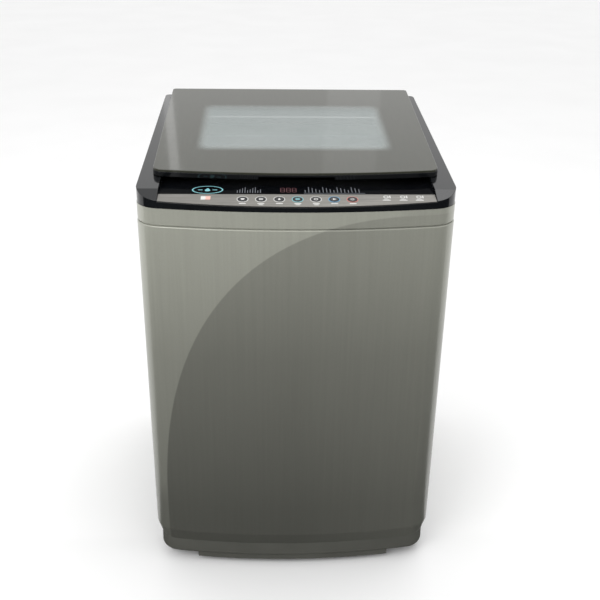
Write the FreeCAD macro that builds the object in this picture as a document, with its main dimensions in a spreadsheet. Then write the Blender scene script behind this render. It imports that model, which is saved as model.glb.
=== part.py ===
"""Top load washing machine: cabinet, lid, console, tub, basket, drive and suspension.

Millimetres.  X runs to the right, Y to the rear, Z up.  The origin is the centre of the
footprint on the floor.  Every piece is one object and one STEP file of the same name.
"""
import FreeCAD, Part
import math
import os
import Sketcher

doc = FreeCAD.newDocument("washing_machine")
os.makedirs("parts", exist_ok=True)

sheet = doc.addObject("Spreadsheet::Sheet", "Sizes")

SIZES = {
    # whole machine
    "body_width": 580,
    "body_depth": 600,
    "body_height": 890,
    "bow_radius": 1500,
    "front_corner": 50,
    "rear_corner": 12,
    # base and feet
    "foot_radius": 20,
    "foot_pad": 12,
    "foot_stem": 5,
    "foot_bore": 5.05,
    "foot_side": 228,
    "foot_front": -214,
    "foot_rear": 236,
    "base_inset": 8.4,
    "base_low": 22,
    "skirt_low": 12,
    "base_top": 58,
    "base_wall": 4,
    "base_hole": 205,
    # cabinet
    "sheet_steel": 1,
    "tuck_top": 87,
    "tuck_in": 8,
    "cabinet_top": 768,
    "rear_opening": 262,
    "brace_level": 700,
    # rear panel
    "panel_half": 275,
    "dish_half": 240,
    "dish_face": 278,
    "dish_low": 96,
    "dish_top": 690,
    "drain_x": 200,
    "drain_z": 112,
    "gland_x": -200,
    "gland_z": 648,
    # top frame and console
    "seam_gap": 1.5,
    "frame_top": 801,
    "deck_level": 785,
    "plastic_wall": 3,
    "mouth_half": 215,
    "mouth_front": -165,
    "mouth_rear": 150,
    "mouth_corner": 92,
    "collar_low": 765,
    "well_half": 248,
    "well_front": -150,
    "well_rear": 255,
    "wing_rear_level": 876,
    "wing_crease_y": -245,
    "wing_crease_level": 827,
    "beam_level": 830,
    "panel_front_y": -297,
    "panel_front_level": 810,
    "panel_fold_y": -252,
    "panel_fold_level": 818,
    "panel_rear_level": 822,
    "strip_bend": 20,
    "strip_depth": 45.4,
    "strip_thick": 1.2,
    "window_thick": 1,
    "bumper_side": 262,
    "bumper_y": -150,
    # buttons
    "knob_radius": 7.5,
    "knob_hole": 7.8,
    "knob_pitch": 32.4,
    "knob_row": 27,
    "knob_proud": 1.8,
    "knob_travel": 1.2,
    # lid
    "lid_tilt": 5.12,
    "lid_frame_thick": 9,
    "lid_glass_thick": 4,
    "lid_rear_half": 272,
    "lid_front_half": 264,
    "lid_corner_y": -192,
    "lid_nose_y": -210,
    "lid_window_half": 195,
    "lid_window_front": -98,
    "lid_window_rear": 184,
    "hinge_y": 276,
    "hinge_z": 862,
    "pin_radius": 4,
    "pin_bore": 4.05,
    # detergent drawer and its hood
    "hood_half": 244,
    "hood_front": 151,
    "hood_top": 820,
    "tray_half": 60,
    "tray_front": 156,
    "tray_rear": 244,
    "tray_low": 790,
    "tray_top": 812,
    # tub
    "tub_radius": 243,
    "tub_wall": 3,
    "tub_floor": 170,
    "tub_top": 735,
    "cover_top": 756,
    "cover_lip": 190,
    "lug_low": 330,
    "lug_top": 345,
    "rod_offset": 225,
    "rod_radius": 4,
    "rod_bore": 4.4,
    "cup_level": 262,
    "spring_radius": 16,
    "spring_wire": 2,
    "spring_pitch": 9,
    # basket and pulsator
    "basket_radius": 219,
    "basket_floor": 218,
    "basket_top": 700,
    "ring_inner": 184,
    "ring_outer": 222,
    "ring_low": 690,
    "ring_top": 738,
    "pulsator_radius": 165,
    "pulsator_low": 226,
    "pulsator_rim": 236,
    "pulsator_hub": 262,
    # drive
    "wash_shaft_radius": 8,
    "wash_shaft_bore": 8.05,
    "spin_shaft_radius": 12.5,
    "spin_shaft_bore": 12.55,
    "plate_low": 160,
    "plate_top": 164,
    "motor_radius": 60,
    "motor_low": 98,
    "motor_y": 165,
    "big_pulley": 60,
    "small_pulley": 18,
    "pulley_low": 78,
    "pulley_top": 92,
    "belt_low": 81,
    "belt_top": 89,
    # water
    "inlet_x": -45,
    "inlet_z": 794,
    "inlet_radius": 13.2,
    "drain_radius": 14,
}

for row, (name, value) in enumerate(SIZES.items(), 1):
    sheet.set(f"A{row}", name)
    sheet.set(f"B{row}", str(value))
    sheet.setAlias(f"B{row}", name)
doc.recompute()

pieces = []


def dim(name):
    """A driving size, read from the sheet."""
    return float(sheet.get(name))


def bound(text):
    """An expression with every sheet alias written as Sizes.alias."""
    words = []
    word = ""
    for letter in str(text) + " ":
        if letter.isalnum() or letter in "_.":
            word += letter
            continue
        words.append("Sizes." + word if word in SIZES else word)
        words.append(letter)
        word = ""
    return "".join(words).strip()


def number(text):
    return float(sheet.evalExpression(bound(text)))


def vector(x, y, z):
    return FreeCAD.Vector(x, y, z)


def keep(obj, label):
    obj.Label = label
    pieces.append(obj)
    return obj


# ---------------------------------------------------------------- PartDesign helpers

def origin_plane(body, role):
    for item in body.Origin.OriginFeatures:
        if item.Role == role:
            return item
    raise ValueError(role)


def add_polygon(sketch, points):
    """A closed polygon; every corner is placed by constraints bound to the sheet."""
    values = [(number(a), number(b)) for a, b in points]
    count = len(values)
    first = sketch.GeometryCount
    for i, start in enumerate(values):
        end = values[(i + 1) % count]
        sketch.addGeometry(Part.LineSegment(vector(*start, 0), vector(*end, 0)))
    for i in range(count):
        following = first + (i + 1) % count
        sketch.addConstraint(Sketcher.Constraint("Coincident", first + i, 2, following, 1))
    for i, (across, up) in enumerate(points):
        place_point(sketch, first + i, 1, across, up)


def add_circle(sketch, across, up, radius):
    centre = vector(number(across), number(up), 0)
    circle = sketch.addGeometry(Part.Circle(centre, vector(0, 0, 1), number(radius)))
    index = sketch.addConstraint(Sketcher.Constraint("Radius", circle, number(radius)))
    sketch.setExpression(f"Constraints[{index}]", bound(radius))
    place_point(sketch, circle, 3, across, up)


def place_point(sketch, geometry, point, across, up):
    for kind, text, axis in (("DistanceX", across, -2), ("DistanceY", up, -1)):
        value = number(text)
        if abs(value) < 1e-9:
            rule = Sketcher.Constraint("PointOnObject", geometry, point, axis)
            sketch.addConstraint(rule)
            continue
        rule = Sketcher.Constraint(kind, -1, 1, geometry, point, value)
        index = sketch.addConstraint(rule)
        sketch.setExpression(f"Constraints[{index}]", bound(text))


def new_sketch(body, name, role, height=None):
    sketch = body.newObject("Sketcher::SketchObject", name)
    sketch.AttachmentSupport = [(origin_plane(body, role), "")]
    sketch.MapMode = "FlatFace"
    if height is not None:
        sketch.setExpression("AttachmentOffset.Base.z", bound(height))
    return sketch


def lathe(name, points, at=None):
    """A turned body.  points are (radius, height); at is the (x, y) of its axis."""
    body = doc.addObject("PartDesign::Body", name)
    sketch = new_sketch(body, name + "_profile", "XZ_Plane")
    add_polygon(sketch, points)
    turned = body.newObject("PartDesign::Revolution", name + "_turned")
    turned.Profile = sketch
    turned.ReferenceAxis = (sketch, ["V_Axis"])
    turned.Angle = 360
    if at:
        body.setExpression("Placement.Base.x", bound(at[0]))
        body.setExpression("Placement.Base.y", bound(at[1]))
    return keep(body, name)


def plate(name, points, low, thickness):
    """A body padded up from a polygon at height low."""
    body = doc.addObject("PartDesign::Body", name)
    add_pad(body, name, points, low, thickness)
    return keep(body, name)


def add_pad(body, name, points, low, thickness):
    sketch = new_sketch(body, name + "_outline", "XY_Plane", low)
    add_polygon(sketch, points)
    pad = body.newObject("PartDesign::Pad", name + "_pad")
    pad.Profile = sketch
    pad.setExpression("Length", bound(thickness))
    return pad


def drill(body, name, holes, low, depth):
    """A pocket of round holes cut upwards from height low."""
    sketch = new_sketch(body, name + "_holes", "XY_Plane", low)
    for across, up, radius in holes:
        add_circle(sketch, across, up, radius)
    pocket = body.newObject("PartDesign::Pocket", name + "_pocket")
    pocket.Profile = sketch
    pocket.Reversed = True
    pocket.setExpression("Length", bound(depth))
    return pocket


def around(body, feature, count):
    """Repeat a feature around the body's Z axis."""
    pattern = body.newObject("PartDesign::PolarPattern", feature.Name + "_around")
    pattern.Originals = [feature]
    pattern.Axis = (origin_axis(body, "Z_Axis"), [""])
    pattern.Angle = 360
    pattern.Occurrences = count
    body.Tip = pattern
    return pattern


def origin_axis(body, role):
    return origin_plane(body, role)


# ---------------------------------------------------------------- Part helpers

def box(name, x0, x1, y0, y1, z0, z1):
    """A box between two bounds on each axis."""
    obj = doc.addObject("Part::Box", name)
    spans = (("Length", "x", x0, x1), ("Width", "y", y0, y1), ("Height", "z", z0, z1))
    for size, axis, low, high in spans:
        obj.setExpression(size, bound(f"({high}) - ({low})"))
        obj.setExpression(f"Placement.Base.{axis}", bound(low))
    return obj


def rod(name, at, radius, low, high, along="z"):
    """A cylinder; at holds the two coordinates across its axis, in axis order."""
    obj = doc.addObject("Part::Cylinder", name)
    turns = {"x": (vector(0, 1, 0), 90), "y": (vector(1, 0, 0), -90), "z": (vector(0, 0, 1), 0)}
    obj.Placement = FreeCAD.Placement(vector(0, 0, 0), FreeCAD.Rotation(*turns[along]))
    obj.setExpression("Radius", bound(radius))
    obj.setExpression("Height", bound(f"({high}) - ({low})"))
    across = [axis for axis in "xyz" if axis != along]
    obj.setExpression(f"Placement.Base.{along}", bound(low))
    for axis, text in zip(across, at):
        obj.setExpression(f"Placement.Base.{axis}", bound(text))
    return obj


def fuse(name, *members):
    obj = doc.addObject("Part::MultiFuse", name)
    obj.Shapes = list(members)
    return obj


def cut(name, base, *tools):
    obj = doc.addObject("Part::Cut", name)
    obj.Base = base
    obj.Tool = tools[0] if len(tools) == 1 else fuse(name + "_tools", *tools)
    return obj


def feature(name, shape):
    obj = doc.addObject("Part::Feature", name)
    obj.Shape = shape.removeSplitter()
    return keep(obj, name)


# ---------------------------------------------------------------- outline of the machine

def outline(inset, level):
    """The footprint: bowed front, round front corners, tight rear corners."""
    side = dim("body_width") / 2
    rear = dim("body_depth") / 2
    bow = dim("bow_radius")
    corner = dim("front_corner")
    bow_centre = vector(0, bow - rear, level)
    cx = side - corner
    cy = bow_centre.y - math.sqrt((bow - corner) ** 2 - cx ** 2)
    reach = (bow - inset) / (bow - corner)
    tangent = vector(cx * reach, bow_centre.y + (cy - bow_centre.y) * reach, level)
    radius = corner - inset
    slant = math.atan2(cy - tangent.y, tangent.x - cx) / 2
    middle = vector(cx + radius * math.cos(slant), cy - radius * math.sin(slant), level)
    small = max(dim("rear_corner") - inset, 1.0)
    right = side - inset
    back = rear - inset
    bend = small * (1 - math.sqrt(0.5))
    edges = []

    def line(a, b):
        edges.append(Part.makeLine(a, b))

    def arc(a, b, c):
        edges.append(Part.Arc(a, b, c).toShape())

    def mirrored(point):
        return vector(-point.x, point.y, point.z)

    arc(mirrored(tangent), vector(0, -rear + inset, level), tangent)
    arc(tangent, middle, vector(right, cy, level))
    line(vector(right, cy, level), vector(right, back - small, level))
    arc(vector(right, back - small, level), vector(right - bend, back - bend, level),
        vector(right - small, back, level))
    line(vector(right - small, back, level), vector(small - right, back, level))
    arc(vector(small - right, back, level), vector(bend - right, back - bend, level),
        vector(-right, back - small, level))
    line(vector(-right, back - small, level), vector(-right, cy, level))
    arc(vector(-right, cy, level), mirrored(middle), mirrored(tangent))
    return Part.Wire(edges)


def slab(inset, low, high):
    return Part.Face(outline(inset, low)).extrude(vector(0, 0, high - low))


def taper(inset_low, low, inset_high, high):
    return Part.makeLoft([outline(inset_low, low), outline(inset_high, high)], True, True)


def block(x0, x1, y0, y1, z0, z1):
    return Part.makeBox(x1 - x0, y1 - y0, z1 - z0, vector(x0, y0, z0))


def bar(x, y, radius, low, high):
    return Part.makeCylinder(radius, high - low, vector(x, y, low))


def bar_y(x, z, radius, front, rear):
    return Part.makeCylinder(radius, rear - front, vector(x, front, z), vector(0, 1, 0))


def bar_x(y, z, radius, left, right):
    return Part.makeCylinder(radius, right - left, vector(left, y, z), vector(1, 0, 0))


def side_prism(points, left, right):
    """Extrude a (y, z) polygon from x = left to x = right."""
    corners = [vector(left, y, z) for y, z in points]
    face = Part.Face(Part.makePolygon(corners + corners[:1]))
    return face.extrude(vector(right - left, 0, 0))


def on_slope(x, y, z, lean):
    """A placement at a point, leaned back round X by an angle in radians."""
    tilt = FreeCAD.Rotation(vector(1, 0, 0), math.degrees(lean))
    return FreeCAD.Placement(vector(x, y, z), tilt)


def laid(shape, placement):
    shape = shape.copy()
    shape.Placement = placement.multiply(shape.Placement)
    return shape


def rounded(solid, radius, low, high):
    """Round the edges that lie wholly between two heights."""
    chosen = [edge for edge in solid.Edges
              if low - 0.01 < edge.BoundBox.ZMin and edge.BoundBox.ZMax < high + 0.01]
    return solid.makeFillet(radius, chosen)


def round_rectangle(x0, x1, y0, y1, radius, low, high):
    solid = block(x0, x1, y0, y1, low, high)
    upright = [edge for edge in solid.Edges if abs(edge.tangentAt(0).z) > 0.9]
    return solid.makeFillet(radius, upright)


steel = dim("sheet_steel")
wall = dim("plastic_wall")
side = dim("body_width") / 2
rear = dim("body_depth") / 2

# ---------------------------------------------------------------- cabinet

tuck_top = dim("tuck_top")
tuck_in = dim("tuck_in")
base_top = dim("base_top")
cabinet_top = dim("cabinet_top")
brace_level = dim("brace_level")
rod_offset = dim("rod_offset")
panel_half = dim("panel_half")

outer = rounded(slab(0, tuck_top, cabinet_top), 2.5, cabinet_top, cabinet_top)
outer = outer.fuse(taper(tuck_in, base_top, 0, tuck_top))
hollow = slab(steel, tuck_top, cabinet_top - steel)
hollow = hollow.fuse(taper(tuck_in + steel, base_top, steel, tuck_top))
shell = outer.cut(hollow)
shell = shell.cut(slab(13, cabinet_top - 2 * steel, cabinet_top + 1))
opening = dim("rear_opening")
shell = shell.cut(block(-opening, opening, rear - 9, rear + 1, 76, 748))
brace_reach = 160
for sx in (-1, 1):
    for sy in (-1, 1):
        corner = vector(sx * side, sy * rear, brace_level - 2.5)
        along_x = vector(corner.x - sx * brace_reach, corner.y, corner.z)
        along_y = vector(corner.x, corner.y - sy * brace_reach, corner.z)
        triangle = Part.Face(Part.makePolygon([corner, along_x, along_y, corner]))
        brace = triangle.extrude(vector(0, 0, 2.5)).common(slab(0.5 * steel, 600, 760))
        brace = brace.cut(bar(sx * rod_offset, sy * rod_offset, dim("rod_bore"), 600, 760))
        shell = shell.fuse(brace)
shell = shell.cut(block(-panel_half - 1, panel_half + 1, rear - 2.5, rear - steel, 65, 759))
feature("cabinet_shell", shell)

# rear panel: a dished tray that closes the opening from inside
dish_half = dim("dish_half")
dish_face = dim("dish_face")
dish_low = dim("dish_low")
dish_top = dim("dish_top")
rim_face = rear - steel
tray = block(-panel_half, panel_half, rim_face - 1, rim_face, 66, 758)
tray = tray.cut(block(-dish_half, dish_half, rim_face - 2, rim_face + 1, dish_low, dish_top))
dish = block(-dish_half, dish_half, dish_face, rim_face, dish_low, dish_top)
dish = dish.cut(block(1 - dish_half, dish_half - 1, dish_face + 1, rim_face + 1,
                      dish_low + 1, dish_top - 1))
tray = tray.fuse(dish)
for level in (210, 330, 450, 570):
    rib = bar_x(dish_face + 1, level, 6, 30 - dish_half, dish_half - 30)
    rib_hollow = bar_x(dish_face + 1, level, 5, 31 - dish_half, dish_half - 31)
    upper_half = block(-dish_half, dish_half, dish_face + 1, dish_face + 9, level - 9, level + 9)
    lower_half = block(-dish_half, dish_half, dish_face - 9, dish_face + 1, level - 9, level + 9)
    tray = tray.fuse(rib.common(upper_half))
    tray = tray.cut(rib_hollow.common(upper_half.fuse(lower_half)))
tray = tray.cut(bar_y(dim("drain_x"), dim("drain_z"), dim("drain_radius") + 1.6, 250, 310))
tray = tray.cut(bar_y(dim("gland_x"), dim("gland_z"), 9.5, 250, 310))
feature("rear_panel", tray)

# strain relief for the power cord
gland = rod("gland_sleeve", ("gland_x", "gland_z"), 9, "dish_face - 8", "dish_face + 12", "y")
gland_head = rod("gland_flange", ("gland_x", "gland_z"), 13, "dish_face + 1", "dish_face + 5", "y")
gland_bore = rod("gland_bore", ("gland_x", "gland_z"), 4, "dish_face - 9", "dish_face + 13", "y")
keep(cut("cord_gland", fuse("gland_body", gland, gland_head), gland_bore), "cord_gland")

# ---------------------------------------------------------------- base and feet

base_inset = dim("base_inset")
base_low = dim("base_low")
base_wall = dim("base_wall")
foot_places = [(sx * dim("foot_side"), y) for y in (dim("foot_front"), dim("foot_rear"))
               for sx in (-1, 1)]

base = rounded(slab(base_inset, base_low, base_top), 8, base_low, base_low)
base = base.cut(slab(base_inset + base_wall + 1, base_low - 1, base_top - base_wall))
upstand = slab(10.4, base_top - 1, base_top + 16).cut(slab(13.4, base_top - 2, base_top + 17))
base = base.fuse(upstand)
skirt = slab(base_inset + 3, dim("skirt_low"), base_low + 12)
skirt = skirt.cut(slab(base_inset + 3 + base_wall, dim("skirt_low") - 1, base_low + 13))
skirt = skirt.common(block(-202, 202, -rear, -150, 0, 60))
base = base.fuse(skirt)
base = base.cut(bar(0, 0, dim("base_hole"), base_top - 10, base_top + 30))
for x, y in foot_places:
    base = base.fuse(bar(x, y, 16, base_low, base_top - 1))
    base = base.cut(bar(x, y, dim("foot_bore"), base_low - 1, base_top + 1))
feature("base_frame", base)

FOOT_NAMES = (("levelling_foot_left", "-foot_side", "foot_front"),
              ("levelling_foot_right", "foot_side", "foot_front"),
              ("rear_foot_left", "-foot_side", "foot_rear"),
              ("rear_foot_right", "foot_side", "foot_rear"))
for name, x, y in FOOT_NAMES:
    lathe(name, [("0", "0"), ("foot_radius - 2", "0"), ("foot_radius", "2"),
                 ("foot_radius", "foot_pad - 5"), ("foot_radius - 6", "foot_pad - 1"),
                 ("9", "foot_pad - 1"), ("9", "foot_pad + 6"), ("foot_stem", "foot_pad + 6"),
                 ("foot_stem", "base_top - 6"), ("0", "base_top - 6")], at=(x, y))

# ---------------------------------------------------------------- top frame

frame_low = cabinet_top + dim("seam_gap")
frame_top = dim("frame_top")
deck = dim("deck_level")
mouth = (-dim("mouth_half"), dim("mouth_half"), dim("mouth_front"), dim("mouth_rear"))
mouth_corner = dim("mouth_corner")
inlet = (dim("inlet_x"), dim("inlet_z"))

frame = rounded(slab(0.8, frame_low, frame_top), 2, frame_low, frame_low)
frame = frame.cut(slab(3.8, frame_low - 1, deck - wall))
frame = frame.cut(slab(6, deck, frame_top + 1))
ledge = slab(3.6, cabinet_top, deck - 1).cut(slab(6.6, cabinet_top - 1, deck))
collar = round_rectangle(mouth[0] - wall, mouth[1] + wall, mouth[2] - wall, mouth[3] + wall,
                         mouth_corner + wall, dim("collar_low"), deck)
frame = frame.fuse(ledge).fuse(collar)
frame = frame.cut(round_rectangle(*mouth, mouth_corner, dim("collar_low") - 1, deck + 1))
frame = frame.cut(bar_y(*inlet, 21, rear - 17, rear + 1))
feature("top_frame", frame)

# ---------------------------------------------------------------- console frame

well_half = dim("well_half")
well_front = dim("well_front")
well_rear = dim("well_rear")
crease_y = dim("wing_crease_y")
crease = dim("wing_crease_level")
wing_rear = dim("wing_rear_level")
panel_y = dim("panel_front_y")
panel_z = dim("panel_front_level")
fold_y = dim("panel_fold_y")
fold_z = dim("panel_fold_level")
strip_slope = math.atan2(fold_z - panel_z, fold_y - panel_y)
window_slope = math.atan2(dim("panel_rear_level") - fold_z, well_front - fold_y)
beam = dim("beam_level")
hinge_y = dim("hinge_y")
hinge_z = dim("hinge_z")
valley_half = dim("lid_rear_half") + 3


def wing_profile(drop, front, back):
    """Side view of a wing, lowered by drop: long slope, crease, short nose."""
    fall = (wing_rear - crease) / (rear - crease_y)
    top = crease + fall * (back - crease_y) - drop
    nose = crease - 19 - drop
    return [(front, frame_top), (front, max(nose, frame_top + 0.5)), (crease_y, crease - drop),
            (back, top), (back, frame_top)]


def on_wing(x):
    """The place of a lid bumper on the slope of a wing."""
    rise = (wing_rear - crease) / (rear - crease_y)
    y = dim("bumper_y")
    return on_slope(x, y, crease + rise * (y - crease_y), math.atan(rise))


frame = None
for sx in (-1, 1):
    spans = sorted((sx * well_half, sx * side))
    wing = side_prism(wing_profile(0, -rear, rear), *spans).common(slab(1.5, frame_top, 880))
    valley = sorted((sx * (well_half - 1), sx * valley_half))
    wing = wing.cut(block(*valley, well_rear + wall, rear + 1, beam, 900))
    inner = sorted((sx * (well_half + wall), sx * side))
    core = side_prism(wing_profile(wall, 1 - rear, well_rear), *inner)
    wing = wing.cut(core.common(slab(1.5 + wall, frame_top - 1, 880)))
    frame = wing if frame is None else frame.fuse(wing)

nose_z = panel_z - (rear + panel_y) * math.tan(strip_slope)
panel_rear = dim("panel_rear_level")
nose = [(-rear, frame_top), (-rear, nose_z), (fold_y, fold_z), (well_front, panel_rear),
        (well_front, frame_top)]
panel = side_prism(nose, -well_half - 1, well_half + 1).common(slab(1.5, frame_top, 880))
under = [(-rear, frame_top), (-rear, nose_z - wall), (fold_y, fold_z - wall),
         (well_front - wall, panel_rear - wall), (well_front - wall, frame_top)]
hollow = side_prism(under, -well_half, well_half).common(slab(4.5, frame_top - 1, 880))
frame = frame.fuse(panel.cut(hollow))
frame = frame.cut(hollow.common(block(-side, side, -rear, well_front, frame_top, 900)))

rear_beam = block(-valley_half, valley_half, well_rear, rear, frame_top, beam)
rear_beam = rear_beam.common(slab(1.5, frame_top, 880))
frame = frame.fuse(rear_beam)
frame = frame.cut(block(wall - valley_half, valley_half - wall, well_rear + wall, rear - 4.5,
                        frame_top - 1, beam - wall))

well = block(-well_half - wall, well_half + wall, well_front - wall, well_rear + wall,
             deck, frame_top + 2)
frame = frame.fuse(well.cut(block(-well_half, well_half, well_front, well_rear, deck - 1, 900)))
frame = frame.cut(block(-well_half, well_half, well_front, well_rear, deck - 1, 900))
frame = frame.cut(bar_y(*inlet, 21, rear - 17, rear + 1))
frame = frame.cut(bar_y(inlet[0], inlet[1] + 14, 8, well_rear - 1, well_rear + wall + 1))
for sx in (-1, 1):
    frame = frame.cut(laid(bar(0, 0, 2.5, -wall - 3, 1), on_wing(sx * dim("bumper_side"))))

LUG_SPAN = (236, 250)
for sx in (-1, 1):
    lug = bar_x(hinge_y, hinge_z, 9, *sorted((sx * LUG_SPAN[0], sx * LUG_SPAN[1])))
    post = block(*sorted((sx * LUG_SPAN[0], sx * LUG_SPAN[1])), hinge_y - 9, hinge_y + 9,
                 beam - 1, hinge_z)
    frame = frame.fuse(lug).fuse(post)
    frame = frame.cut(bar_x(hinge_y, hinge_z, dim("pin_bore"), *sorted((sx * 230, sx * 260))))

strip_plane = on_slope(0, panel_y, panel_z, strip_slope)
window_plane = on_slope(0, fold_y, fold_z, window_slope)

knob_row = dim("knob_row")
knob_pitch = dim("knob_pitch")
KNOB_COUNT = 7
knob_places = [(i - (KNOB_COUNT - 1) / 2) * knob_pitch for i in range(KNOB_COUNT)]
holes = [laid(bar(x, knob_row, dim("knob_hole"), -20, 20), strip_plane) for x in knob_places]
for hole in holes:
    frame = frame.cut(hole)
feature("console_frame", frame)

# brushed strip with the button holes, and the display window behind it
strip_depth = dim("strip_depth")
strip_half = well_half - 1
strip_bend = dim("strip_bend")
strip_left = vector(-strip_half, strip_bend, 0)
strip_right = vector(strip_half, strip_bend, 0)
strip_edges = [
    Part.Arc(strip_left, vector(0, 0.5, 0), strip_right).toShape(),
    Part.makeLine(strip_right, vector(strip_half, strip_depth, 0)),
    Part.makeLine(vector(strip_half, strip_depth, 0), vector(-strip_half, strip_depth, 0)),
    Part.makeLine(vector(-strip_half, strip_depth, 0), strip_left),
]
strip = Part.Face(Part.Wire(strip_edges)).extrude(vector(0, 0, dim("strip_thick")))
strip = laid(strip, strip_plane)
for hole in holes:
    strip = strip.cut(hole)
feature("button_strip", strip)

window_depth = (well_front - fold_y) / math.cos(window_slope) - 1
window = block(-strip_half, strip_half, 0.3, window_depth, 0, dim("window_thick"))
feature("display_window", laid(window, window_plane))

for i, x in enumerate(knob_places, 1):
    knob = lathe(f"button_{i}", [("0", "-5.5"), ("9.3", "-5.5"), ("9.3", "-3.6"),
                                 ("knob_radius", "-3.6"), ("knob_radius", "knob_proud - 0.6"),
                                 ("knob_radius - 0.6", "knob_proud"), ("0", "knob_proud")])
    knob.Placement = strip_plane.multiply(on_slope(x, knob_row, 0, 0))

mat = block(-130, 130, knob_row - 12, knob_row + 12, -8.4, -7.6)
for x in knob_places:
    mat = mat.fuse(Part.makeCone(6, 4, 0.9, vector(x, knob_row, -7.7)))
feature("button_mat", laid(mat, strip_plane))
board = laid(block(-135, 135, knob_row - 13, 45, -10.2, -8.6), strip_plane)
board = board.fuse(laid(block(-60, 60, -1, 56, -11, -4), window_plane))
feature("control_board", board)


# ---------------------------------------------------------------- lid

tilt = math.radians(dim("lid_tilt"))
frame_thick = dim("lid_frame_thick")
glass_thick = dim("lid_glass_thick")
lid_base = dim("body_height") - (frame_thick + glass_thick) * math.cos(tilt)
lid_pivot = vector(0, rear, lid_base)


def tilted(shape):
    shape = shape.copy()
    shape.rotate(lid_pivot, vector(1, 0, 0), dim("lid_tilt"))
    return shape


def lid_plate(inset, low, high):
    """The lid outline, flat, between two heights above its underside."""
    rear_half = dim("lid_rear_half") - inset
    front_half = dim("lid_front_half") - inset
    level = lid_base + low
    corner_y = dim("lid_corner_y") + inset
    corners = [vector(front_half, corner_y, level), vector(rear_half, rear - inset, level),
               vector(-rear_half, rear - inset, level), vector(-front_half, corner_y, level)]
    edges = [Part.makeLine(a, b) for a, b in zip(corners, corners[1:])]
    nose = vector(0, dim("lid_nose_y") + inset, level)
    edges.append(Part.Arc(corners[3], nose, corners[0]).toShape())
    solid = Part.Face(Part.Wire(edges)).extrude(vector(0, 0, high - low))
    upright = [edge for edge in solid.Edges if abs(edge.tangentAt(edge.FirstParameter).z) > 0.9]
    front = [edge for edge in upright if edge.CenterOfMass.y < 0]
    back = [edge for edge in upright if edge.CenterOfMass.y > 0]
    return solid.makeFillet(18 - inset, front).makeFillet(8 - inset, back)


window_half = dim("lid_window_half")
window_box = (-window_half, window_half, dim("lid_window_front"), dim("lid_window_rear"))
lid = lid_plate(0, 0, frame_thick)
grown = [window_box[0] - wall, window_box[1] + wall, window_box[2] - wall, window_box[3] + wall]
frame_core = lid_plate(wall, -1, frame_thick - wall)
frame_core = frame_core.cut(round_rectangle(*grown, 15, lid_base - 2, lid_base + frame_thick))
lid = lid.cut(frame_core)
lid = lid.cut(round_rectangle(*window_box, 12, lid_base - 1, lid_base + frame_thick + 1))
grip = block(-80, 80, dim("lid_nose_y") - 1, dim("lid_corner_y") + 22, lid_base + 3,
             lid_base + frame_thick - 1)
lid = lid.fuse(grip.common(lid_plate(0, 0, frame_thick)))
grip_cut = block(-70, 70, dim("lid_nose_y") - 5, dim("lid_corner_y") + 19, lid_base - 1,
                 lid_base + 5)
lid = lid.cut(grip_cut)
lid = tilted(lid)
ARMS = ((224, 234), (252, 262))
for sx in (-1, 1):
    for a, b in ARMS:
        span = sorted((sx * a, sx * b))
        lid = lid.fuse(bar_x(hinge_y, hinge_z, 9, *span))
        lid = lid.fuse(block(*span, hinge_y - 8, hinge_y + 8, hinge_z, hinge_z + 20))
    reach = sorted((sx * (ARMS[0][0] - 1), sx * (ARMS[1][1] + 1)))
    lid = lid.cut(bar_x(hinge_y, hinge_z, dim("pin_radius"), *reach))

# Curtain behind the well: it closes the slot above the beam, and is curved about the hinge
# so that the running gap to the beam stays even through the swing.
curtain_half, curtain_radius, curtain_thick = 218, 30, 3
curtain_top, curtain_back = hinge_z - 20, hinge_y + 21
curtain = bar_x(hinge_y, hinge_z, curtain_radius, -curtain_half, curtain_half)
curtain = curtain.cut(bar_x(hinge_y, hinge_z, curtain_radius - curtain_thick,
                            -curtain_half - 1, curtain_half + 1))
curtain = curtain.common(block(-curtain_half, curtain_half, hinge_y - 6, curtain_back,
                               hinge_z - curtain_radius - 1, curtain_top))
curtain = curtain.fuse(block(-curtain_half, curtain_half, curtain_back - curtain_thick,
                             curtain_back, curtain_top - 2, lid_base + 3))
lid = lid.fuse(curtain)
feature("lid_frame", lid)

glass = lid_plate(0.8, frame_thick, frame_thick + glass_thick)
top_edges = [edge for edge in glass.Edges
             if edge.BoundBox.ZMin > lid_base + frame_thick + glass_thick - 0.01]
glass = glass.makeFillet(1.2, top_edges)
feature("lid_glass", tilted(glass))

# rubber buttons plugged into the wings, under the lid's side walls
for name, sx in (("lid_bumper_left", -1), ("lid_bumper_right", 1)):
    plug = bar(0, 0, 3.5, 0, 0.6).fuse(bar(0, 0, 2.4, -wall - 2, 0))
    feature(name, laid(plug, on_wing(sx * dim("bumper_side"))))

for name, sign in (("hinge_pin_left", -1), ("hinge_pin_right", 1)):
    ends = sorted((sign * ARMS[0][0], sign * ARMS[1][1]))
    keep(rod(name, ("hinge_y", "hinge_z"), "pin_radius", ends[0], ends[1], "x"), name)

# ---------------------------------------------------------------- detergent drawer

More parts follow.
